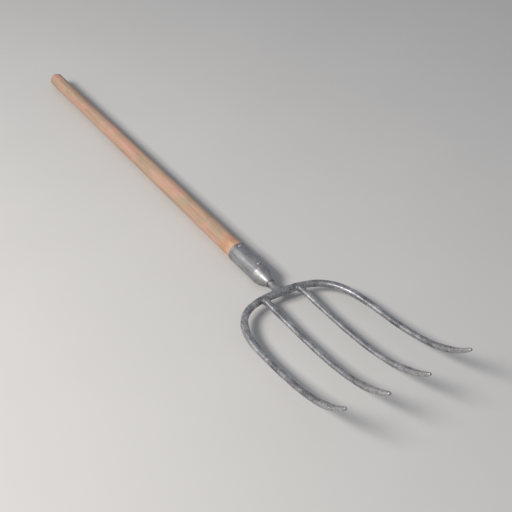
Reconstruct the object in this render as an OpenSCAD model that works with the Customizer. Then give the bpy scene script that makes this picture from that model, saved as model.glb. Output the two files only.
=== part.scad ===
/* [Handle] */
// Length of the wooden shaft that shows behind the ferrule
handle_len = 840; // [500:1:1500]
// Diameter of the shaft at the ferrule
handle_d = 36; // [28:0.5:45]
// Diameter of the straight grip at the butt
grip_d = 31.4; // [24:0.2:40]
// Length of the straight grip with its rounded end
grip_len = 150; // [60:1:300]
// Radius of the rounded edge of the butt
butt_r = 9; // [2:0.5:11]

/* [Ferrule] */
// Length of the ferrule's straight sleeve
ferrule_len = 80; // [60:1:140]
// Wall of the ferrule
ferrule_wall = 1.5; // [1:0.1:2.5]
// Length of the ferrule's drawn-in nose
nose_len = 32; // [24:1:60]
// Gap round the shaft inside the ferrule
ferrule_fit = 0.05; // [0.02:0.01:0.3]

/* [Shank] */
// Diameter of the round neck between the ferrule and the crossbar
neck_d = 15.2; // [12:0.2:20]
// Length of the neck that shows ahead of the ferrule
neck_len = 12; // [6:1:60]
// Width of the square tang where it leaves the neck
tang_root_w = 13; // [10:0.5:16]
// Width of the square tang at its end in the wood
tang_tip_w = 6; // [4:0.5:8]
// Length of the tang
tang_len = 145; // [100:1:220]
// Gap round the tang in the wood
tang_fit = 0.2; // [0.1:0.05:0.6]

/* [Rivets] */
// Diameter of the two through rivets
rivet_d = 4.6; // [3:0.1:6]
// Diameter of their domed heads
rivet_head_d = 8; // [6.5:0.5:11]
// Height of the domed heads above the sleeve
rivet_head_h = 1.1; // [0.6:0.1:2]
// Distance from the ferrule's mouth to the rear rivet
rear_rivet_x = 8; // [6:0.5:20]
// Distance from the front of the sleeve back to the front rivet
front_rivet_back = 9; // [7:0.5:20]
// Gap round a rivet in its holes
rivet_fit = 0.05; // [0.02:0.01:0.3]

/* [Crossbar] */
// Width of the crossbar at its middle
crossbar_w = 15; // [11:0.5:22]
// Radius of the hollows where the neck runs into the crossbar
neck_fillet = 10; // [4:0.5:16]
// Distance from the side of an inner tine's root to the weld of the outer tine
weld_gap = 7.8; // [2:0.2:15]
// Length of the raised root that carries each inner tine
root_len = 18; // [14:1:30]
// How much the root swells over the inner tine's first section
root_swell = 2; // [0:0.5:4]

/* [Outer tines] */
// Half the distance between the outer tines at the end of their bends
bow_half_w = 115; // [95:1:160]
// Distance along the handle that an outer tine takes to bend forwards
bend_len = 143; // [90:1:170]
// How much wider each outer tine stands at its tip
tip_flare = 7.5; // [0:0.5:25]
// Reach of the outer tips ahead of the crossbar
outer_reach = 342; // [280:1:450]
// Rise of the outer tips above the handle's axis
outer_rise = 72; // [20:1:120]
// Diameter of an outer tine in its bend
bend_d = 14.2; // [10:0.2:18]
// Diameter of the straight run of an outer tine
outer_d = 11.4; // [8:0.2:16]
// Distance ahead of the crossbar at which all tines start to climb
belly_reach = 58; // [30:1:120]

/* [Inner tines] */
// Distance between the middles of the two inner tines
inner_pitch = 74; // [60:1:84]
// How much wider each inner tine stands at its tip
inner_flare = 2.7; // [0:0.1:12]
// Reach of the inner tips ahead of the crossbar
inner_reach = 343; // [280:1:450]
// Rise of the inner tips above their bellies
inner_rise = 59; // [20:1:120]
// Height of the inner bellies above the handle's axis
inner_belly_z = 1.5; // [0:0.1:4]
// Diameter of the straight run of an inner tine
inner_d = 10.5; // [8:0.2:14]
// Diameter of an inner tine at its root
root_d = 12.4; // [10:0.2:16]

/* [Tine ends] */
// Diameter of the swell ahead of each tip
swell_d = 12.6; // [9:0.2:18]
// Distance from a tip back to the swell
swell_back = 48; // [30:1:90]
// Diameter where the blunt point starts
point_d = 8.6; // [5:0.2:12]
// Length of the rounded blunt point
point_len = 7; // [3:0.5:15]
// Height of a bar's section as a share of its width
bar_flatness = 0.92; // [0.7:0.01:1]
// Exponent of the bar's section, where 2 is an ellipse and more is squarer
squareness = 2.3; // [2:0.1:4]

/* [Hidden] */
$fn = 96;

wood_colour = [0.74, 0.56, 0.40];
steel_colour = [0.45, 0.45, 0.48];
bright_steel_colour = [0.62, 0.62, 0.64];

bar_sides = 20;
nose_steps = 16;
arc_steps = 8;
past = 1;
seat_gap = 0.02;

// The bend is a quarter of a superellipse with this exponent
bow_exponent = 3.1;
// Share of a tine's climb that is a gentle square, and the power of its late curl
outer_curl = [0.5, 6];
inner_curl = [0.25, 4.5];
// Rise of an inner tine's root over its belly, gone after this share of its length
root_lift = 1.7;
root_lift_share = 0.29;
// Length of an inner tine's taper from its root to its straight run
root_taper = 60;
// The nose narrows by a cosine, early where this exponent is small, to a thin lip
nose_exponent = 0.8;
lip_wall = 1;
// Share of the nose that the wood fills, and the gap that is left round it
wood_in_nose = 0.45;
wood_gap = 0.1;
// Height of the slight crown on the butt's end
butt_crown = 2;
// Rings bunch towards a tip by these powers
leg_bunching = 1.6;
inner_bunching = 1.5;

// Stations along the handle's axis, counted forwards from the ferrule's mouth
bore_r = handle_d / 2 + ferrule_fit;
sleeve_r = bore_r + ferrule_wall;
neck_r = neck_d / 2;
nose_end_x = ferrule_len + nose_len;
neck_end_x = nose_end_x + neck_len;
crossbar_x = neck_end_x + neck_fillet + crossbar_w / 2;
tang_root_x = ferrule_len + nose_len / 2;
tang_tip_x = tang_root_x - tang_len;
grip_start_x = grip_len - handle_len;
front_rivet_x = ferrule_len - front_rivet_back;
root_x = crossbar_x + root_len;
outer_tip_x = crossbar_x + outer_reach;
inner_tip_x = crossbar_x + inner_reach;
bend_end_x = crossbar_x + bend_len;
belly_x = crossbar_x + belly_reach;
weld_y = (inner_pitch + root_d + root_swell) / 2 + weld_gap;

// The origin is in the middle of the whole tool's length, on the ground below it
x_ends = [for (r = concat(outer_rings(), inner_rings())) for (p = r) p.x];
shift_x = (handle_len - max(x_ends)) / 2;
shift_z = sleeve_r + rivet_head_h;

function unit(v) = v / norm(v);
function signed_power(v) = sign(v) * pow(abs(v), 2 / squareness);

// One ring of a bar about its middle, square to its direction
function ring(middle, direction, width) =
    let (forward = unit(direction),
         side = unit(cross([0, 0, 1], forward)),
         up = cross(forward, side))
    [for (i = [0 : bar_sides - 1]) let (a = 360 * i / bar_sides)
        middle + side * signed_power(cos(a)) * width / 2
            + up * signed_power(sin(a)) * width / 2 * bar_flatness];

// How a tine climbs from its belly to its tip, from 0 to 1
function climb(x, tip_x, shape) =
    let (s = max(0, (x - belly_x) / (tip_x - belly_x)))
    shape[0] * pow(s, 2) + (1 - shape[0]) * pow(s, shape[1]);

// Width of a tine near its end: straight run, swell, blunt point and an end half as wide
function end_width(back, run_d) = back < point_len
    ? point_d * sqrt(1 - 0.75 * pow(1 - back / point_len, 2))
    : lookup(back, [[point_len, point_d], [swell_back, swell_d],
        [2 * swell_back, run_d]]);

// The bow, which is the crossbar and both outer tines: up to 90 the bend's angle, then the leg
function leg_x(u) = outer_tip_x
    - (outer_tip_x - bend_end_x) * pow(1 - (u - 90) / 90, leg_bunching);
function bow_x(u) = abs(u) < 90
    ? bend_end_x - bend_len * pow(cos(u), 2 / bow_exponent)
    : leg_x(abs(u));
function bow_y(u) = sign(u) * (bow_half_w * pow(sin(min(abs(u), 90)), 2 / bow_exponent)
    + tip_flare * (bow_x(u) - crossbar_x) / outer_reach);
function bow_at(u) = [bow_x(u), bow_y(u), outer_rise * climb(bow_x(u), outer_tip_x, outer_curl)];
function bow_dir(u) = bow_at(min(u + 0.5, 180)) - bow_at(u - 0.5);
function bow_angle(y) = sign(y) * asin(pow(abs(y) / bow_half_w, bow_exponent / 2));
function bend_width(x) = lookup(x - crossbar_x, [[0, bend_d - 1.2], [0.35 * bend_len, bend_d],
    [0.6 * bend_len, bend_d - 0.8], [0.9 * bend_len, outer_d]]);
function outer_width(x) = x < outer_tip_x - 2 * swell_back
    ? bend_width(x) : end_width(outer_tip_x - x, outer_d);
function crossbar_width(y) = let (tine_w = outer_width(bow_x(bow_angle(weld_y))))
    tine_w + (crossbar_w - tine_w) * (1 - pow(y / weld_y, 2));

function outer_rings() =
    let (weld_u = bow_angle(weld_y), bend_n = 15, leg_n = 20)
    concat(
        [for (k = [0 : bend_n - 1]) outer_ring(weld_u + (90 - weld_u) * k / bend_n)],
        [for (k = [0 : leg_n]) outer_ring(90 + 90 * k / leg_n)]);
function outer_ring(u) = ring(bow_at(u), bow_dir(u), outer_width(bow_x(u)));
function crossbar_rings() = let (n = 16)
    [for (k = [0 : n]) let (y = weld_y * (2 * k / n - 1), u = bow_angle(y))
        ring(bow_at(u), bow_dir(u), crossbar_width(y))];

// An inner tine leaves the front of its root a little above the crossbar's middle
function inner_at(x) = let (s = (x - root_x) / (inner_tip_x - root_x))
    [x, inner_pitch / 2 + inner_flare * pow(s, 2),
        inner_belly_z + root_lift * pow(max(0, 1 - s / root_lift_share), 2)
            + inner_rise * climb(x, inner_tip_x, inner_curl)];
function inner_dir(x) = inner_at(min(x + 0.5, inner_tip_x)) - inner_at(max(x - 0.5, root_x));
function inner_width(x) = x < inner_tip_x - 2 * swell_back
    ? lookup(x - root_x, [[0, root_d], [root_taper, inner_d]])
    : end_width(inner_tip_x - x, inner_d);
function inner_rings() = let (n = 26)
    [for (k = [0 : n])
        let (x = inner_tip_x - (inner_tip_x - root_x) * pow(1 - k / n, inner_bunching))
        ring(inner_at(x), k == 0 ? [1, 0, 0] : inner_dir(x), inner_width(x))];

// The root rises out of the crossbar, swells and narrows to the inner tine's first section
function root_rings() = let (n = 8, start = inner_at(root_x))
    [for (k = [0 : n]) let (s = k / n)
        ring([crossbar_x + root_len * s, start.y, start.z * s], [1, 0, 0],
            root_d + root_swell * sin(180 * s))];

// The saddle runs from the neck's round end face into the crossbar with hollow sides
function saddle_rings() = let (n = 9)
    [for (k = [0 : n]) let (s = k / n, x = neck_end_x + (crossbar_x - neck_end_x) * s,
            hollow = min(1, (x - neck_end_x) / neck_fillet),
            half_w = neck_r + neck_fillet * (1 - sqrt(1 - pow(hollow, 2))))
        [for (i = [0 : bar_sides - 1]) let (a = 360 * i / bar_sides)
            [x, half_w * cos(a), neck_r * sin(a) * (1 - 0.1 * s)]]];

// A closed solid through rings of points, with a flat face at each end
module bar(rings) {
    n = len(rings[0]);
    last = len(rings) - 1;
    polyhedron(
        points = [for (r = rings) each r],
        faces = concat(
            [[for (i = [0 : n - 1]) i]],
            [for (k = [0 : last - 1], i = [0 : n - 1]) let (j = (i + 1) % n)
                each [[k * n + i, (k + 1) * n + i, (k + 1) * n + j],
                    [k * n + i, (k + 1) * n + j, k * n + j]]],
            [[for (i = [n - 1 : -1 : 0]) last * n + i]]));
}

// Turns a profile of [radius, station] points about the handle's axis
module turned(profile) {
    rotate([0, 90, 0]) rotate_extrude() polygon(profile);
}

module placed() {
    translate([shift_x, 0, shift_z]) children();
}

// A square bar that tapers evenly along the handle's axis
module taper(start_x, start_w, end_x, end_w) {
    outline = [[start_x, -start_w / 2], [end_x, -end_w / 2],
        [end_x, end_w / 2], [start_x, start_w / 2]];
    deep = max(start_w, end_w) + past;
    intersection() {
        linear_extrude(deep, center = true) polygon(outline);
        rotate([90, 0, 0]) linear_extrude(deep, center = true) polygon(outline);
    }
}

module rivet_holes() {
    for (x = [rear_rivet_x, front_rivet_x])
        translate([x, 0, 0]) cylinder(d = rivet_d + 2 * rivet_fit, h = 3 * sleeve_r, center = true);
}

// Outside of the ferrule's nose and of the wood's end inside it, u from 0 to 1
function nose_share(u) = (1 + cos(180 * pow(u, nose_exponent))) / 2;
function nose_r(u) = neck_r + lip_wall + (sleeve_r - neck_r - lip_wall) * nose_share(u);

module handle() {
    butt = [for (k = [0 : arc_steps]) let (a = 90 * k / arc_steps)
        [grip_d / 2 - butt_r + butt_r * sin(a),
            butt_r - (butt_r - butt_crown) * cos(a) - handle_len]];
    nose = [for (k = [0 : arc_steps]) let (u = wood_in_nose * k / arc_steps)
        [nose_r(u) - ferrule_wall - ferrule_fit - wood_gap * k / arc_steps,
            ferrule_len + nose_len * u]];
    color(wood_colour) placed() difference() {
        turned(concat([[0, -handle_len]], butt, [[grip_d / 2, grip_start_x], [handle_d / 2, 0]],
            nose, [[0, ferrule_len + nose_len * wood_in_nose]]));
        taper(tang_tip_x - tang_fit, tang_tip_w + 2 * tang_fit,
            tang_root_x + past, tang_root_w + 2 * tang_fit);
        rivet_holes();
    }
}

module ferrule() {
    outside = [for (k = [0 : nose_steps]) let (u = k / nose_steps)
        [nose_r(u), ferrule_len + nose_len * u]];
    inside = [for (k = [nose_steps : -1 : 0]) let (u = k / nose_steps)
        [max(neck_r + ferrule_fit, nose_r(u) - ferrule_wall), ferrule_len + nose_len * u]];
    color(steel_colour) placed() difference() {
        turned(concat([[bore_r, 0], [sleeve_r, 0]], outside, inside));
        rivet_holes();
    }
}

module shank() {
    color(steel_colour) placed() difference() {
        union() {
            translate([tang_root_x, 0, 0]) rotate([0, 90, 0])
                cylinder(r = neck_r, h = neck_end_x - tang_root_x);
            taper(tang_tip_x, tang_tip_w, tang_root_x + past, tang_root_w);
        }
        rivet_holes();
    }
}

module crossbar() {
    color(steel_colour) placed() union() {
        bar(crossbar_rings());
        bar(saddle_rings());
        bar(root_rings());
        mirror([0, 1, 0]) bar(root_rings());
    }
}

module tine_outer_left() {
    color(steel_colour) placed() bar(outer_rings());
}

module tine_outer_right() {
    color(steel_colour) placed() mirror([0, 1, 0]) bar(outer_rings());
}

module tine_inner_left() {
    color(steel_colour) placed() bar(inner_rings());
}

module tine_inner_right() {
    color(steel_colour) placed() mirror([0, 1, 0]) bar(inner_rings());
}

// A low dome that sits on the round sleeve, its crest at the head's height
module rivet_head() {
    sag = sleeve_r - sqrt(pow(sleeve_r, 2) - pow(rivet_head_d / 2, 2));
    dome_h = rivet_head_h + sag;
    dome_r = (pow(rivet_head_d / 2, 2) + pow(dome_h, 2)) / (2 * dome_h);
    difference() {
        intersection() {
            translate([0, 0, sleeve_r + rivet_head_h - dome_r]) sphere(r = dome_r);
            cylinder(d = rivet_head_d, h = 2 * sleeve_r);
        }
        rotate([0, 90, 0])
            cylinder(r = sleeve_r + seat_gap, h = rivet_head_d + 2 * past, center = true);
    }
}

module rivets() {
    color(bright_steel_colour) placed()
        for (x = [rear_rivet_x, front_rivet_x]) translate([x, 0, 0]) union() {
            cylinder(d = rivet_d, h = 2 * sleeve_r + rivet_head_h, center = true);
            rivet_head();
            mirror([0, 0, 1]) rivet_head();
        }
}

handle();
ferrule();
shank();
crossbar();
tine_outer_left();
tine_outer_right();
tine_inner_left();
tine_inner_right();
rivets();
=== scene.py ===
import math

import bpy
from mathutils import Matrix, Vector


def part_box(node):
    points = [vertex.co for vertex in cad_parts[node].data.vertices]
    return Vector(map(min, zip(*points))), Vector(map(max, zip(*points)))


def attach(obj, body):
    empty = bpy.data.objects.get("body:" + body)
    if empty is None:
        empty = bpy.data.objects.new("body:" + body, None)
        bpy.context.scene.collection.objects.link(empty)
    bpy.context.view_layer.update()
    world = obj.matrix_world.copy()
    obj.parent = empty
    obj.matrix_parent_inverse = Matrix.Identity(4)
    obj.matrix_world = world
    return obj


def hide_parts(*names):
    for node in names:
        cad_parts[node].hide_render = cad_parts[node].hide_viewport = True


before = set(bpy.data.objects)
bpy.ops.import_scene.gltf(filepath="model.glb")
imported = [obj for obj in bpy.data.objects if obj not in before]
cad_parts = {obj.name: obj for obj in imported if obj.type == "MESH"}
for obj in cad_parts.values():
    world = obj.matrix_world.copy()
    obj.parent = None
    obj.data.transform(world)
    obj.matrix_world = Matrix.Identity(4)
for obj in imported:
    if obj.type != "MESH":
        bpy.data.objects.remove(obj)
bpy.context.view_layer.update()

bpy.ops.object.select_all(action="DESELECT")


# The head is one steel forging: a crossbar whose ends bend forwards into the outer tines, two inner
# tines on raised roots, and a neck with a square tang. It is drawn out and bent here as one blank,
# with its hollows blended and its hammer marks, and is then cut along the welds into its pieces.
MM = 0.001
ferrule_low, ferrule_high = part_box("ferrule")
mouth = Vector((ferrule_low.x, 0, (ferrule_low.z + ferrule_high.z) / 2))

# Sizes are in millimetres, and stations (_x) count along the fork from the ferrule's mouth
tang_end_x, tang_front_x, tang_end_w, tang_front_w = -49, 100, 6, 13.1
neck_start_x, neck_end_x, neck_w = 96, 124, 15.2
crossbar_x, crossbar_w, weld_y, root_x = 141.5, 15, 52, 159.5
saddle_len, hollow_len, saddle_flare = crossbar_x - neck_end_x, 10, 20
bow_half_w, bend_len, bend_end_x, bow_power = 115, 143, 284.5, 3.1
belly_x, outer_tip_x, outer_rise, tip_flare, outer_w = 199.5, 483.5, 72, 7.5, 11.4
inner_tip_x, inner_rise, inner_y, inner_flare, inner_w = 484.5, 59, 37, 2.7, 10.5
root_len, root_w, root_lift, inner_lift, root_fade = root_x - crossbar_x, 12.4, 3.2, 1.5, 0.29
point_len, point_w, blade_at, blade_w, blade_len = 7, 8.6, 48, 12.6, 96
bar_flatness, bar_corner, round_corner, tang_corner = 0.92, 0.42, 0.499, 0.08


def between(value, points):
    """Reads a value off a line through points, and holds its first and last values beyond them."""
    for (x0, y0), (x1, y1) in zip(points, points[1:]):
        if value <= x1:
            return y0 + (y1 - y0) * max(0, value - x0) / (x1 - x0)
    return points[-1][1]


def climb(x, tip_x, gentle, power):
    """How far a tine has risen at x, as a share of its rise: gently from its belly, steeply at its tip."""
    s = max(0, (x - belly_x) / (tip_x - belly_x))
    return gentle * s ** 2 + (1 - gentle) * s ** power


def end_width(back, run_w):
    """A tine's width back from its tip: a blunt point, a wider blade, then the width it runs in."""
    if back < point_len:
        return point_w * math.sqrt(1 - 0.75 * (1 - back / point_len) ** 2)
    return between(back, [(point_len, point_w), (blade_at, blade_w), (blade_len, run_w)])


def bow_at(turn):
    """A point on the crossbar or an outer tine. Turn is 0 at the crossbar's middle, 90 or -90 after
    the bend to the left or right, and 180 or -180 at the tip."""
    side, turn = math.copysign(1, turn), abs(turn)
    a = math.radians(min(turn, 90))
    if turn < 90:
        x = bend_end_x - bend_len * math.cos(a) ** (2 / bow_power)
    else:
        x = outer_tip_x - (outer_tip_x - bend_end_x) * (2 - turn / 90) ** 1.6
    flare = tip_flare * (x - crossbar_x) / (outer_tip_x - crossbar_x)
    y = bow_half_w * math.sin(a) ** (2 / bow_power) + flare
    return Vector((x, side * y, outer_rise * climb(x, outer_tip_x, gentle=0.5, power=6)))


def bow_turn(y):
    """The turn at which the bow is y off the middle."""
    return math.copysign(math.degrees(math.asin((abs(y) / bow_half_w) ** (bow_power / 2))), y)


def bow_width(point):
    if point.x > outer_tip_x - blade_len:
        return end_width(outer_tip_x - point.x, outer_w)
    width = between(point.x - crossbar_x, [(0, 13), (50, 14.2), (86, 13.4), (129, outer_w)])
    if abs(point.y) < weld_y:
        width += (crossbar_w - width) * (1 - (point.y / weld_y) ** 2)
    return width


def inner_at(x, side):
    """A point on an inner tine, which rises over the crossbar on its root."""
    if x < root_x:
        return Vector((x, side * inner_y, root_lift * (x - crossbar_x) / root_len))
    s = (x - root_x) / (inner_tip_x - root_x)
    lift = inner_lift + (root_lift - inner_lift) * max(0, 1 - s / root_fade) ** 2
    height = lift + inner_rise * climb(x, inner_tip_x, gentle=0.25, power=4.5)
    return Vector((x, side * (inner_y + inner_flare * s ** 2), height))


def inner_width(x):
    if x < root_x:
        s = (x - crossbar_x) / root_len
        return between(s, [(0, 8), (0.3, root_w), (1, root_w)]) + 2.6 * math.sin(math.pi * s)
    if x > inner_tip_x - blade_len:
        return end_width(inner_tip_x - x, inner_w)
    return between(x - root_x, [(0, root_w), (60, inner_w)])


def draw_bar(name, path, sizes, corner):
    """Draws a bar out along path. A ring with rounded corners is extruded from point to point, and
    turned and resized at each."""
    path = [(mouth + p * MM) for p in path]
    bpy.ops.mesh.primitive_plane_add(size=1, rotation=(0, math.pi / 2, 0))
    bar = bpy.context.object
    bar.name = name
    bpy.ops.object.transform_apply()
    bpy.ops.object.mode_set(mode="EDIT")
    bpy.ops.mesh.select_all(action="SELECT")
    bpy.ops.mesh.bevel(offset=corner, segments=6, affect="VERTICES")
    bpy.ops.mesh.remove_doubles(threshold=0.001)
    wide, high = sizes[0]
    bpy.ops.transform.resize(value=(1, wide * MM, high * MM))
    yaw = pitch = 0
    here = Vector((0, 0, 0))
    for k, point in enumerate(path):
        ahead = path[min(k + 1, len(path) - 1)] - path[max(k - 1, 0)]
        new_yaw = math.atan2(ahead.y, ahead.x)
        while yaw and abs(new_yaw - yaw) > math.pi:
            new_yaw += math.copysign(2 * math.pi, yaw - new_yaw)
        new_pitch = math.atan2(ahead.z, ahead.xy.length)
        if k:
            bpy.ops.mesh.extrude_region_move(TRANSFORM_OT_translate={"value": point - here})
        else:
            bpy.ops.transform.translate(value=point - here)
        # The ring is turned back square to X, resized and turned to its new direction. Blender
        # without a window turns the other way, so a yaw to the left is a negative value.
        bpy.ops.transform.rotate(value=yaw, orient_axis="Z", center_override=point)
        bpy.ops.transform.rotate(value=-pitch, orient_axis="Y", center_override=point)
        bpy.ops.transform.resize(value=(1, sizes[k][0] / wide, sizes[k][1] / high), center_override=point)
        bpy.ops.transform.rotate(value=new_pitch, orient_axis="Y", center_override=point)
        bpy.ops.transform.rotate(value=-new_yaw, orient_axis="Z", center_override=point)
        yaw, pitch, here = new_yaw, new_pitch, point
        wide, high = sizes[k]
    bpy.ops.mesh.select_all(action="SELECT")
    bpy.ops.mesh.normals_make_consistent(inside=False)
    bpy.ops.object.mode_set(mode="OBJECT")


weld_turn = bow_turn(weld_y)
half_bow = [bow_at(bow_turn(weld_y * k / 8)) for k in range(9)]
half_bow += [bow_at(weld_turn + (90 - weld_turn) * k / 18) for k in range(1, 18)]
half_bow += [bow_at(90 + 90 * k / 26) for k in range(27)]
bow_path = [Vector((p.x, -p.y, p.z)) for p in half_bow[:0:-1]] + half_bow
bow_sizes = [(bow_width(p), bow_width(p) * bar_flatness) for p in bow_path]
draw_bar("bow", bow_path, bow_sizes, bar_corner)

inner_stations = [crossbar_x + root_len * k / 8 for k in range(8)]
inner_stations += [inner_tip_x - (inner_tip_x - root_x) * (1 - k / 36) ** 1.5 for k in range(37)]
inner_sizes = [(inner_width(x), inner_width(x) * bar_flatness) for x in inner_stations]
for side, name in ((1, "inner_left_bar"), (-1, "inner_right_bar")):
    draw_bar(name, [inner_at(x, side) for x in inner_stations], inner_sizes, bar_corner)

saddle_stations = [neck_end_x + saddle_len * k / 12 for k in range(13)]
neck_sizes = [(neck_w, neck_w)]
for x in saddle_stations:
    hollow = min(1, (x - neck_end_x) / hollow_len)
    neck_sizes.append((neck_w + saddle_flare * (1 - math.sqrt(1 - hollow ** 2)),
        neck_w * (1 - 0.1 * (x - neck_end_x) / saddle_len)))
neck_path = [Vector((x, 0, 0)) for x in [neck_start_x] + saddle_stations]
draw_bar("neck_bar", neck_path, neck_sizes, round_corner)
draw_bar("tang_bar", [Vector((tang_end_x, 0, 0)), Vector((tang_front_x, 0, 0))],
    [(tang_end_w, tang_end_w), (tang_front_w, tang_front_w)], tang_corner)

for name in ("bow", "inner_left_bar", "inner_right_bar", "neck_bar", "tang_bar"):
    bpy.data.objects[name].select_set(True)
blank = bpy.data.objects["bow"]
bpy.context.view_layer.objects.active = blank
bpy.ops.object.join()
blank.data.remesh_voxel_size = 0.8 * MM
bpy.ops.object.voxel_remesh()


def modify(piece, kind, **values):
    """Adds a modifier to a piece, sets it and applies it."""
    bpy.context.view_layer.objects.active = piece
    bpy.ops.object.modifier_add(type=kind)
    modifier = piece.modifiers[-1]
    for name, value in values.items():
        setattr(modifier, name, value)
    bpy.ops.object.modifier_apply(modifier=modifier.name)


def dent(piece, kind, size, depth, **values):
    """Sinks soft marks of a size into a piece, never proud of it."""
    marks = bpy.data.textures.new("marks", kind)
    marks.noise_scale = size
    modify(piece, "DISPLACE", texture=marks, texture_coords="LOCAL", mid_level=1, strength=depth, **values)


modify(blank, "SMOOTH", factor=0.5, iterations=7)
dent(blank, "VORONOI", 9 * MM, 0.35 * MM)
dent(blank, "CLOUDS", 4 * MM, 0.25 * MM)
modify(blank, "SMOOTH", factor=0.5, iterations=1)


cut_reach = 14 * MM


def cut_blank(place, direction):
    """Parts the blank with a saw cut square to direction, among the faces near place."""
    point = mouth + place * MM
    bpy.ops.object.mode_set(mode="OBJECT")
    for part in (blank.data.vertices, blank.data.edges, blank.data.polygons):
        part.foreach_set("select", [False] * len(part))
    for face in blank.data.polygons:
        face.select = (face.center - point).length < cut_reach
    bpy.ops.object.mode_set(mode="EDIT")
    bpy.ops.mesh.select_mode(type="FACE")
    bpy.ops.mesh.bisect(plane_co=point, plane_no=direction, use_fill=False)
    bpy.ops.mesh.edge_split(type="EDGE")


bpy.context.view_layer.objects.active = blank
blank.select_set(True)
forwards = Vector((1, 0, 0))
for side in (1, -1):
    along_bow = bow_at(side * (weld_turn + 0.5)) - bow_at(side * (weld_turn - 0.5))
    cut_blank(bow_at(side * weld_turn), along_bow)
    cut_blank(inner_at(root_x, side), forwards)
cut_blank(Vector((neck_end_x, 0, 0)), forwards)
bpy.ops.mesh.separate(type="LOOSE")
bpy.ops.object.mode_set(mode="OBJECT")
forgings = list(bpy.context.selected_objects)
bpy.ops.object.select_all(action="DESELECT")
for piece in forgings:
    bpy.context.view_layer.objects.active = piece
    bpy.ops.object.mode_set(mode="EDIT")
    bpy.ops.mesh.select_all(action="SELECT")
    bpy.ops.mesh.fill_holes(sides=0)
    bpy.ops.object.mode_set(mode="OBJECT")
    piece.select_set(True)
    bpy.ops.object.shade_smooth_by_angle(angle=math.radians(40))
    piece.select_set(False)


def node(material, kind, **values):
    """Adds a node to a material. A value is a number or colour for a socket, or another node's output."""
    made = material.node_tree.nodes.new(kind)
    for name, value in values.items():
        if hasattr(made, name):
            setattr(made, name, value)
            continue
        socket = made.inputs[int(name[1:])] if name[1:].isdigit() else made.inputs[name.replace("_", " ")]
        if isinstance(value, bpy.types.NodeSocket):
            material.node_tree.links.new(value, socket)
        else:
            socket.default_value = value
    return made


def spread(material, scale, stretch=(1, 1, 1), turn=(0, 0, 0)):
    """Object coordinates in metres, times a scale, stretched and turned, for a pattern to follow."""
    place = node(material, "ShaderNodeTexCoord").outputs["Object"]
    return node(material, "ShaderNodeMapping", Vector=place, Rotation=turn,
        Scale=[scale * s for s in stretch]).outputs[0]


def noise(material, place, detail=3, rough=0.55, distortion=0):
    return node(material, "ShaderNodeTexNoise", Vector=place, Scale=1, Detail=detail, Roughness=rough,
        Distortion=distortion).outputs[0]


def ramp(material, value, stops):
    """A colour ramp: stops are (place, colour)."""
    made = node(material, "ShaderNodeValToRGB", i0=value)
    band = made.color_ramp
    while len(band.elements) < len(stops):
        band.elements.new(1)
    for element, (place, colour) in zip(band.elements, stops):
        element.position = place
        element.color = (*colour, 1)
    return made.outputs[0]


def level(material, value, low, high, to_low=0, to_high=1):
    """Brings a pattern's values from low to high onto to_low to to_high, and clips them there."""
    return node(material, "ShaderNodeMapRange", Value=value, From_Min=low, From_Max=high,
        To_Min=to_low, To_Max=to_high).outputs[0]


def mix(material, share, first, second):
    """Lays a share of the second colour over the first."""
    made = node(material, "ShaderNodeMix", data_type="RGBA", i0=share)
    for socket, value in ((made.inputs[6], first), (made.inputs[7], second)):
        if isinstance(value, bpy.types.NodeSocket):
            material.node_tree.links.new(value, socket)
        else:
            socket.default_value = (*value, 1)
    return made.outputs[2]


def maths(material, operation, first, second):
    return node(material, "ShaderNodeMath", operation=operation, i0=first, i1=second).outputs[0]


def new_material(name, metallic):
    material = bpy.data.materials.new(name)
    material.use_nodes = True
    shader = material.node_tree.nodes["Principled BSDF"]
    shader.inputs["Metallic"].default_value = metallic
    return material, shader


def finish_material(material, shader, colour, roughness, height, depth):
    bump = node(material, "ShaderNodeBump", Height=height, Distance=depth, Strength=1)
    links = material.node_tree.links
    links.new(colour, shader.inputs["Base Color"])
    links.new(roughness, shader.inputs["Roughness"])
    links.new(bump.outputs[0], shader.inputs["Normal"])


forged_steel, shader = new_material("forged_steel", 0.8)
m = forged_steel
blotches = noise(m, spread(m, 55, (0.6, 1, 1)), 4)
mottle = noise(m, spread(m, 330), 5, 0.6)
streaks = noise(m, spread(m, 700, (0.06, 1, 1)), 2)
pits = node(m, "ShaderNodeTexVoronoi", Vector=spread(m, 520), Scale=1).outputs["Distance"]
pit_mask = maths(m, "MULTIPLY", level(m, pits, 0.30, 0.12), level(m, mottle, 0.5, 0.6))
tone = maths(m, "ADD", maths(m, "MULTIPLY", blotches, 0.5), maths(m, "MULTIPLY", mottle, 0.5))
tone = maths(m, "ADD", maths(m, "MULTIPLY", tone, 0.85), maths(m, "MULTIPLY", streaks, 0.15))
colour = ramp(m, tone, [(0.38, (0.12, 0.12, 0.13)), (0.46, (0.25, 0.25, 0.27)),
    (0.53, (0.38, 0.38, 0.40)), (0.61, (0.60, 0.59, 0.58))])
colour = mix(m, level(m, noise(m, spread(m, 90), 4), 0.55, 0.75, 0, 0.25), colour, (0.30, 0.22, 0.16))
along = node(m, "ShaderNodeSeparateXYZ", i0=node(m, "ShaderNodeTexCoord").outputs["Object"]).outputs[0]
worn_from_x, bright_x = 0.56, 0.655
worn = maths(m, "MULTIPLY", level(m, along, worn_from_x, bright_x), level(m, mottle, 0.35, 0.6))
colour = mix(m, maths(m, "MULTIPLY", worn, 0.55), colour, (0.62, 0.61, 0.58))
colour = mix(m, maths(m, "MULTIPLY", pit_mask, 0.8), colour, (0.05, 0.047, 0.045))
roughness = level(m, tone, 0.35, 0.65, 0.58, 0.36)
height = maths(m, "SUBTRACT", maths(m, "MULTIPLY", mottle, 0.6), maths(m, "MULTIPLY", pit_mask, 0.5))
height = maths(m, "ADD", height, maths(m, "MULTIPLY", streaks, 0.15))
finish_material(m, shader, colour, roughness, height, 0.35 * MM)

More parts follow.
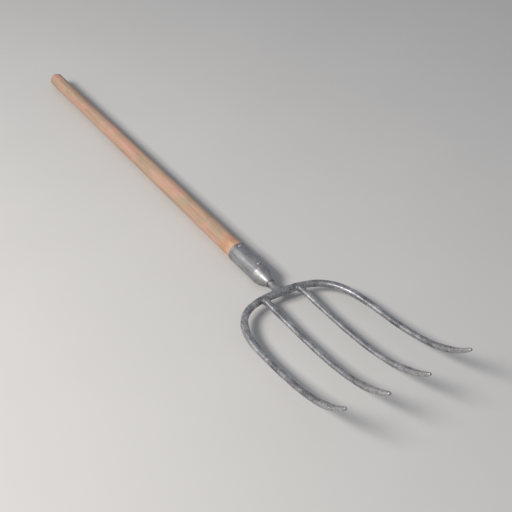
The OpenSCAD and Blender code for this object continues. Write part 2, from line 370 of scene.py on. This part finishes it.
for piece in forgings:
    corners = [Vector(c) for c in piece.bound_box]
    middle = sum(corners, Vector()) / 8
    side = "left" if middle.y > 0 else "right"
    front_x = (max(c.x for c in corners) - mouth.x) / MM
    if front_x < crossbar_x:
        piece.name, node_name = "shank_and_tang", "shank"
    elif front_x < belly_x:
        piece.name, node_name = "crossbar_forging", "crossbar"
    elif abs(middle.y) > weld_y * MM:
        piece.name, node_name = "outer_tine_" + side, "tine_outer_" + side
    else:
        piece.name, node_name = "inner_tine_" + side, "tine_inner_" + side
    piece.data.materials.clear()
    piece.data.materials.append(forged_steel)
    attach(piece, "root")
    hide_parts(node_name)


# The handle is one turned ash shaft, 36 mm thick at the ferrule and slimmer at the grip, with a
# rounded butt. Its front end is shaped to fill the ferrule's nose and is driven on over the tang.
handle_len, handle_w, grip_w, grip_len = 840, 36, 31.4, 150
crown_w, crown_h, butt_depth, butt_round = 7.8, 2, 7, 9
sleeve_len, sleeve_r, wall, nose_len, lip_r = 80, 19.55, 1.5, 32, 8.6
nose_fill, fit_gap = 0.45, 0.05


def nose_radius(share):
    """Outside radius of the ferrule's nose, share from 0 at the sleeve to 1 at the lip."""
    return lip_r + (sleeve_r - lip_r) * (1 + math.cos(math.pi * share ** 0.8)) / 2


def turn_on_axis(name, profile, sides, hollow=False):
    """Turns a profile of (station, radius) points on the handle's axis, ring by ring."""
    bpy.ops.mesh.primitive_circle_add(vertices=sides, radius=1, rotation=(0, math.pi / 2, 0),
        fill_type="NOTHING" if hollow else "NGON")
    piece = bpy.context.object
    piece.name = name
    bpy.ops.object.transform_apply()
    bpy.ops.object.mode_set(mode="EDIT")
    bpy.ops.mesh.select_all(action="SELECT")
    x, r = profile[0]
    centre = mouth + Vector((x, 0, 0)) * MM
    bpy.ops.transform.resize(value=(1, r * MM, r * MM))
    bpy.ops.transform.translate(value=centre)
    for x, new_r in profile[1:]:
        new_centre = mouth + Vector((x, 0, 0)) * MM
        bpy.ops.mesh.extrude_region_move(TRANSFORM_OT_translate={"value": new_centre - centre})
        bpy.ops.transform.resize(value=(1, new_r / r, new_r / r), center_override=new_centre)
        centre, r = new_centre, new_r
    bpy.ops.mesh.select_all(action="SELECT")
    bpy.ops.mesh.remove_doubles(threshold=0.00001)
    bpy.ops.mesh.normals_make_consistent(inside=False)
    bpy.ops.object.mode_set(mode="OBJECT")
    return piece


shaft_profile = [(-handle_len, 1), (crown_h / 2 - handle_len, crown_w / 2)]
shaft_profile += [(crown_h + butt_depth * (1 - math.cos(math.radians(a))) - handle_len,
    grip_w / 2 - butt_round * (1 - math.sin(math.radians(a)))) for a in range(0, 91, 10)]
shaft_profile += [((grip_len - handle_len) * (1 - k / 10),
    between(k, [(0, grip_w / 2), (10, handle_w / 2)])) for k in range(11)]
shaft_profile += [(sleeve_len + nose_len * nose_fill * k / 8,
    nose_radius(nose_fill * k / 8) - wall - fit_gap - 0.1 * k / 8) for k in range(9)]
shaft = turn_on_axis("ash_shaft", shaft_profile, sides=72)
bpy.ops.object.mode_set(mode="EDIT")
bpy.ops.mesh.select_mode(type="EDGE")
bpy.ops.mesh.select_all(action="DESELECT")
bpy.ops.object.mode_set(mode="OBJECT")
for edge in shaft.data.edges:
    a, b = (shaft.data.vertices[i].co for i in edge.vertices)
    edge.select = abs(a.x - b.x) > 50 * MM
bpy.ops.object.mode_set(mode="EDIT")
bpy.ops.mesh.subdivide(number_cuts=34)
# The grain's dents are long: the shaft is pressed short, dented and pulled out again
press = 0.06
bpy.ops.mesh.select_all(action="SELECT")
bpy.ops.transform.resize(value=(press, 1, 1), center_override=mouth)
bpy.ops.object.mode_set(mode="OBJECT")
shaft.vertex_groups.new(name="shown")
shaft.vertex_groups["shown"].add([v.index for v in shaft.data.vertices if v.co.x < mouth.x], 1, "REPLACE")
dent(shaft, "CLOUDS", 3.5 * MM, 0.22 * MM, vertex_group="shown")
bpy.ops.object.mode_set(mode="EDIT")
bpy.ops.mesh.select_all(action="SELECT")
bpy.ops.transform.resize(value=(1 / press, 1, 1), center_override=mouth)
bpy.ops.object.mode_set(mode="OBJECT")
dent(shaft, "CLOUDS", 26 * MM, 0.35 * MM, vertex_group="shown")
bpy.ops.object.shade_smooth_by_angle(angle=math.radians(50))

ash_wood, shader = new_material("ash_wood", 0)
m = ash_wood
rings = node(m, "ShaderNodeTexWave", wave_type="RINGS", rings_direction="X", wave_profile="SAW",
    Vector=spread(m, 1, (1.2, 95, 95), (0, math.radians(0.9), math.radians(1.4))), Scale=1,
    Distortion=2.2, Detail=3, Detail_Scale=0.9, Detail_Roughness=0.6).outputs[1]
fibres = noise(m, spread(m, 1, (12, 900, 900)), 4, 0.6)
long_tone = noise(m, spread(m, 1, (5, 60, 60)), 3, 0.5)
blush = noise(m, spread(m, 1, (22, 40, 40)), 3, 0.55, 0.4)
colour = mix(m, rings, (0.46, 0.29, 0.205), (0.34, 0.205, 0.14))
colour = mix(m, level(m, long_tone, 0.38, 0.62), colour, mix(m, 0.5, colour, (0.56, 0.38, 0.28)))
colour = mix(m, level(m, blush, 0.50, 0.64, 0, 0.65), colour, (0.52, 0.27, 0.215))
colour = mix(m, level(m, blush, 0.48, 0.36, 0, 0.60), colour, (0.33, 0.27, 0.18))
colour = mix(m, level(m, fibres, 0.48, 0.34, 0, 0.6), colour, (0.22, 0.13, 0.085))
along = node(m, "ShaderNodeSeparateXYZ", i0=node(m, "ShaderNodeTexCoord").outputs["Object"]).outputs[0]
flame = noise(m, spread(m, 1, (10, 230, 230)), 3, 0.5)
near = level(m, along, mouth.x - 75 * MM, mouth.x - 5 * MM)
near = maths(m, "ADD", near, maths(m, "MULTIPLY", flame, 0.9))
colour = mix(m, level(m, near, 0.85, 1.15, 0, 0.6), colour, (0.46, 0.22, 0.115))
colour = mix(m, level(m, near, 1.25, 1.45, 0, 0.5), colour, (0.60, 0.42, 0.31))
# The last few millimetres of the butt are painted lighter all round: a painted highlight on its rounded rim.
butt_highlight_from_x, butt_highlight_full_x = -0.6545, -0.6605
butt_rim_highlight = level(m, along, butt_highlight_from_x, butt_highlight_full_x)
colour = mix(m, maths(m, "MULTIPLY", butt_rim_highlight, 0.6), colour, (0.80, 0.66, 0.52))
specks = node(m, "ShaderNodeTexVoronoi", Vector=spread(m, 1, (90, 260, 260)), Scale=1).outputs["Distance"]
speck_mask = maths(m, "MULTIPLY", level(m, specks, 0.16, 0.08), level(m, long_tone, 0.5, 0.6))
colour = mix(m, maths(m, "MULTIPLY", speck_mask, 0.6), colour, (0.25, 0.16, 0.10))
roughness = level(m, fibres, 0.3, 0.7, 0.62, 0.46)
height = maths(m, "ADD", maths(m, "MULTIPLY", fibres, 0.5), maths(m, "MULTIPLY", rings, 0.3))
finish_material(m, shader, colour, roughness, height, 0.25 * MM)
shaft.data.materials.append(ash_wood)
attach(shaft, "root")
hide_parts("handle")


# The ferrule is a sleeve of 1.5 mm sheet steel, 80 mm long, with its front drawn in over a former to
# a narrow nose round the neck. It is driven on over the shaft, and its mouth stands proud of the wood.
rim_round, nose_steps, rivet_stations = 0.5, 28, (8, 71)
rim = [(rim_round * (1 - math.cos(math.radians(a))), sleeve_r - rim_round * (1 - math.sin(math.radians(a))))
    for a in (0, 30, 60, 90)]
sleeve = [(sleeve_len * k / 40, sleeve_r) for k in range(1, 40)]
nose = [(sleeve_len + nose_len * k / nose_steps, nose_radius(k / nose_steps)) for k in range(nose_steps + 1)]
inside = [(x, max(neck_w / 2 + fit_gap, r - wall)) for x, r in reversed(nose)]
inside += [(sleeve_len / 2, sleeve_r - wall), (0, sleeve_r - wall), (0, sleeve_r - rim_round)]
ferrule = turn_on_axis("ferrule_sleeve", rim + sleeve + nose + inside, sides=120, hollow=True)
ferrule.vertex_groups.new(name="outside")
outer = []
for v in ferrule.data.vertices:
    station = (v.co.x - mouth.x) / MM
    skin_r = nose_radius(max(0, (station - sleeve_len) / nose_len))
    if station > 1.5 and math.hypot(v.co.y, v.co.z - mouth.z) > (skin_r - 0.3) * MM:
        outer.append(v.index)
ferrule.vertex_groups["outside"].add(outer, 1, "REPLACE")
dent(ferrule, "CLOUDS", 15 * MM, 0.35 * MM, vertex_group="outside")
dent(ferrule, "VORONOI", 8 * MM, 0.18 * MM, vertex_group="outside")
bpy.ops.object.shade_smooth_by_angle(angle=math.radians(50))

ferrule_steel, shader = new_material("ferrule_steel", 0.8)
m = ferrule_steel
clouding = noise(m, spread(m, 60, (0.5, 1, 1)), 4, 0.55)
fine = noise(m, spread(m, 420), 4, 0.6)
rubs = noise(m, spread(m, 450, (0.05, 1, 1)), 3, 0.5)
tone = maths(m, "ADD", maths(m, "MULTIPLY", clouding, 0.5), maths(m, "MULTIPLY", rubs, 0.3))
tone = maths(m, "ADD", tone, maths(m, "MULTIPLY", fine, 0.2))
colour = ramp(m, tone, [(0.36, (0.20, 0.20, 0.215)), (0.50, (0.33, 0.33, 0.345)),
    (0.64, (0.47, 0.46, 0.465))])
specks = node(m, "ShaderNodeTexVoronoi", Vector=spread(m, 380), Scale=1).outputs["Distance"]
speck_mask = maths(m, "MULTIPLY", level(m, specks, 0.24, 0.12), level(m, clouding, 0.52, 0.6))
colour = mix(m, maths(m, "MULTIPLY", speck_mask, 0.7), colour, (0.07, 0.065, 0.06))
place = node(m, "ShaderNodeTexCoord").outputs["Object"]
along = node(m, "ShaderNodeSeparateXYZ", i0=place).outputs[0]
for station in rivet_stations:
    head = node(m, "ShaderNodeVectorMath", operation="DISTANCE", i0=place,
        i1=mouth + Vector((station, 0, sleeve_r)) * MM).outputs["Value"]
    grime = level(m, maths(m, "ADD", head, maths(m, "MULTIPLY", fine, 3 * MM)), 7.5 * MM, 4.8 * MM)
    colour = mix(m, maths(m, "MULTIPLY", grime, 0.6), colour, (0.08, 0.075, 0.07))
nose_end = level(m, along, mouth.x + 97 * MM, mouth.x + (sleeve_len + nose_len) * MM)
nose_shade = maths(m, "MULTIPLY", nose_end, level(m, fine, 0.3, 0.6))
colour = mix(m, maths(m, "MULTIPLY", nose_shade, 0.45), colour, (0.12, 0.11, 0.10))
rim_shade = level(m, along, mouth.x + 2.2 * MM, mouth.x + 0.6 * MM)
colour = mix(m, maths(m, "MULTIPLY", rim_shade, 0.5), colour, (0.13, 0.12, 0.12))
roughness = level(m, tone, 0.38, 0.62, 0.58, 0.46)
height = maths(m, "ADD", maths(m, "MULTIPLY", fine, 0.4), maths(m, "MULTIPLY", rubs, 0.35))
height = maths(m, "SUBTRACT", height, maths(m, "MULTIPLY", speck_mask, 0.5))
finish_material(m, shader, colour, roughness, height, 0.2 * MM)
ferrule.data.materials.append(ferrule_steel)
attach(ferrule, "root")
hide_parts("ferrule")


# Two steel rivets, 4.6 mm thick, pass down through the sleeve, the wood and the tang. Both ends of
# each are hammered to low domed heads, 8 mm across, that lie on the sleeve.
rivet_w, head_w, head_h, head_edge = 4.6, 8, 1.1, 0.15
rear_station, front_station = rivet_stations
head_under, head_sink = sleeve_r - 0.45, 0.1
bpy.ops.object.select_all(action="DESELECT")
bpy.ops.mesh.primitive_circle_add(vertices=40, radius=rivet_w / 2 * MM, fill_type="NGON",
    location=mouth + Vector((rear_station, 0, 0)) * MM)
rivet = bpy.context.object
rivet.name = "rivet_rear"
bpy.ops.object.transform_apply(location=True)
bpy.ops.object.mode_set(mode="EDIT")
bpy.ops.mesh.select_all(action="SELECT")
dome = [(head_under, rivet_w / 2), (head_under, head_w / 2 - head_edge), (sleeve_r - head_sink, head_w / 2)]
dome += [(sleeve_r - head_sink + (head_h + head_sink) * math.sin(math.radians(a)),
    head_w / 2 * math.cos(math.radians(a)) ** 0.8) for a in (15, 30, 45, 60, 72, 82)]
height, radius = 0, rivet_w / 2
for z, r in dome:
    bpy.ops.mesh.extrude_region_move(TRANSFORM_OT_translate={"value": (0, 0, (z - height) * MM)})
    centre = mouth + Vector((rear_station, 0, z)) * MM
    bpy.ops.transform.resize(value=(r / radius, r / radius, 1), center_override=centre)
    height, radius = z, r
bpy.ops.mesh.select_all(action="DESELECT")
bpy.ops.object.mode_set(mode="OBJECT")
# The face in the middle of its length is taken out, and the lower half is the upper one mirrored
for face in rivet.data.polygons:
    face.select = len(face.vertices) > 4 and abs(face.center.z - mouth.z) < 1 * MM
bpy.ops.object.mode_set(mode="EDIT")
bpy.ops.mesh.select_mode(type="FACE")
bpy.ops.mesh.delete(type="FACE")
bpy.ops.object.mode_set(mode="OBJECT")
bpy.ops.object.modifier_add(type="MIRROR")
rivet.modifiers[-1].use_axis = (False, False, True)
mirror_at = bpy.data.objects.new("axis_mark", None)
bpy.context.scene.collection.objects.link(mirror_at)
mirror_at.location = mouth
rivet.modifiers[-1].mirror_object = mirror_at
bpy.context.view_layer.update()
bpy.ops.object.modifier_apply(modifier=rivet.modifiers[-1].name)
bpy.data.objects.remove(mirror_at)
bpy.ops.object.mode_set(mode="EDIT")
bpy.ops.mesh.select_all(action="SELECT")
bpy.ops.mesh.remove_doubles(threshold=0.00001)
bpy.ops.mesh.normals_make_consistent(inside=False)
bpy.ops.object.mode_set(mode="OBJECT")
bpy.ops.object.shade_smooth_by_angle(angle=math.radians(50))

rivet_steel, shader = new_material("rivet_steel", 0.9)
m = rivet_steel
rub = noise(m, spread(m, 700), 4, 0.55)
colour = ramp(m, rub, [(0.35, (0.30, 0.30, 0.31)), (0.5, (0.52, 0.52, 0.53)), (0.65, (0.68, 0.67, 0.66))])
finish_material(m, shader, colour, level(m, rub, 0.35, 0.65, 0.42, 0.25), rub, 0.15 * MM)
rivet.data.materials.append(rivet_steel)
bpy.ops.object.select_all(action="DESELECT")
rivet.select_set(True)
bpy.context.view_layer.objects.active = rivet
bpy.ops.object.duplicate()
front_rivet = bpy.context.object
front_rivet.name = "rivet_front"
bpy.ops.object.mode_set(mode="EDIT")
bpy.ops.mesh.select_all(action="SELECT")
bpy.ops.transform.translate(value=((front_station - rear_station) * MM, 0, 0))
bpy.ops.object.mode_set(mode="OBJECT")
for piece in (rivet, front_rivet):
    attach(piece, "root")
    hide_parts("rivets")


# The fork lies on a plain pale floor under soft studio light, with the key light on the side of the
# photograph's highlights. The camera looks from the photograph's own place.
bpy.ops.mesh.primitive_plane_add(size=16)
floor = bpy.context.object
floor.name = "floor"
pale_floor, shader = new_material("pale_floor", 0)
m = pale_floor
haze = noise(m, spread(m, 3), 4)
colour = mix(m, haze, (0.56, 0.55, 0.54), (0.60, 0.59, 0.58))
roughness = level(m, haze, 0.3, 0.7, 0.75, 0.85)
finish_material(m, shader, colour, roughness, noise(m, spread(m, 900), 2), 0.05 * MM)
floor.data.materials.append(pale_floor)

bpy.ops.object.light_add(type="AREA", location=(0.1, -2.3, 2.0))
key = bpy.context.object
key.name = "key_light"
key_aim = Vector((0, 0, 0.03))
key.rotation_euler = (key_aim - key.location).to_track_quat("-Z", "Y").to_euler()
key.data.shape = "RECTANGLE"
key.data.size, key.data.size_y = 1.6, 0.8
key.data.energy = 95
key.data.color = (1, 0.96, 0.9)

world = bpy.data.worlds.new("studio")
bpy.context.scene.world = world
world.use_nodes = True
fill_light = world.node_tree.nodes["Background"]
fill_light.inputs["Color"].default_value = (0.80, 0.84, 0.92, 1)
fill_light.inputs["Strength"].default_value = 0.42
bpy.context.scene.view_settings.view_transform = "Standard"

bpy.ops.object.camera_add(location=(1.3821, -0.7878, 1.0705))
camera = bpy.context.object
right, up, forward = (Vector(v) for v in ((0.546292, 0.836899, 0.034134),
    (-0.511208, 0.300859, 0.805078), (-0.663499, 0.457257, -0.592186)))
camera.rotation_euler = Matrix((right, up, -forward)).transposed().to_euler()
camera.data.lens, camera.data.sensor_width = 66.92, 36
bpy.context.scene.camera = camera
